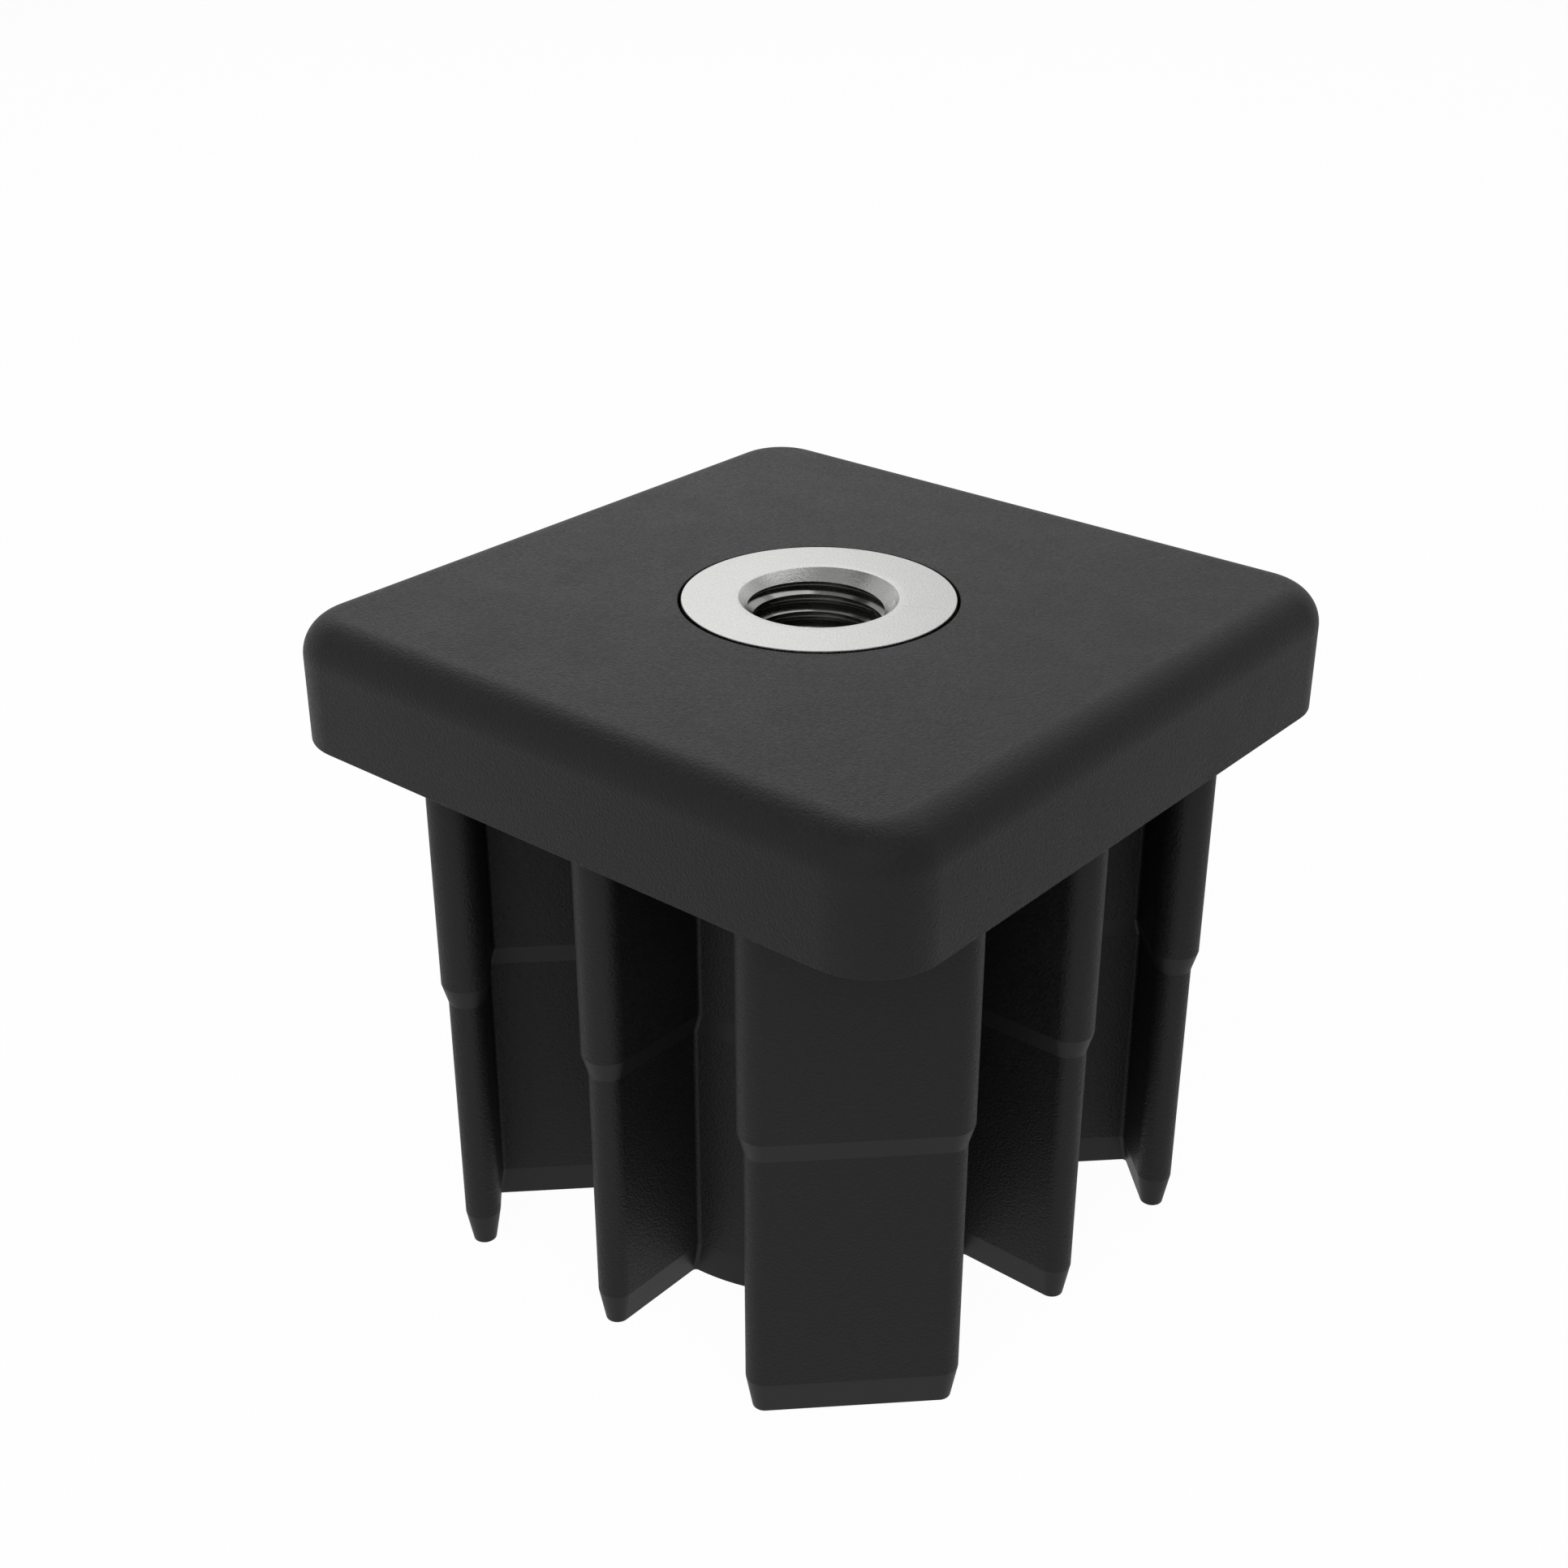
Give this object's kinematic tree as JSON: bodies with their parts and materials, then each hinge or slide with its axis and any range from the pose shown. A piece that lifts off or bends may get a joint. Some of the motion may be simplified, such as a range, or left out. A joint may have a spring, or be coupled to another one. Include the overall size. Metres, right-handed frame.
{
  "type": "threaded tube insert",
  "caption": "Plug for the end of a square tube, with a ribbed shank that grips the tube and a steel bush threaded for the stud of a levelling foot or castor.",
  "frame": {"origin": "on the thread's axis, in the plane of the shoulder that rests on the tube's end", "axes": "+Z along the thread's axis, out of the tube; +X and +Y square to the head's sides"},
  "size_m": [0.04, 0.04, 0.0368],
  "materials": {
    "plug_plastic": "fine moulded grain",
    "bush_steel": "turned, satin"
  },
  "bodies": {
    "root": {"body": "plug_plastic", "bush": "bush_steel"}
  },
  "joints": []
}
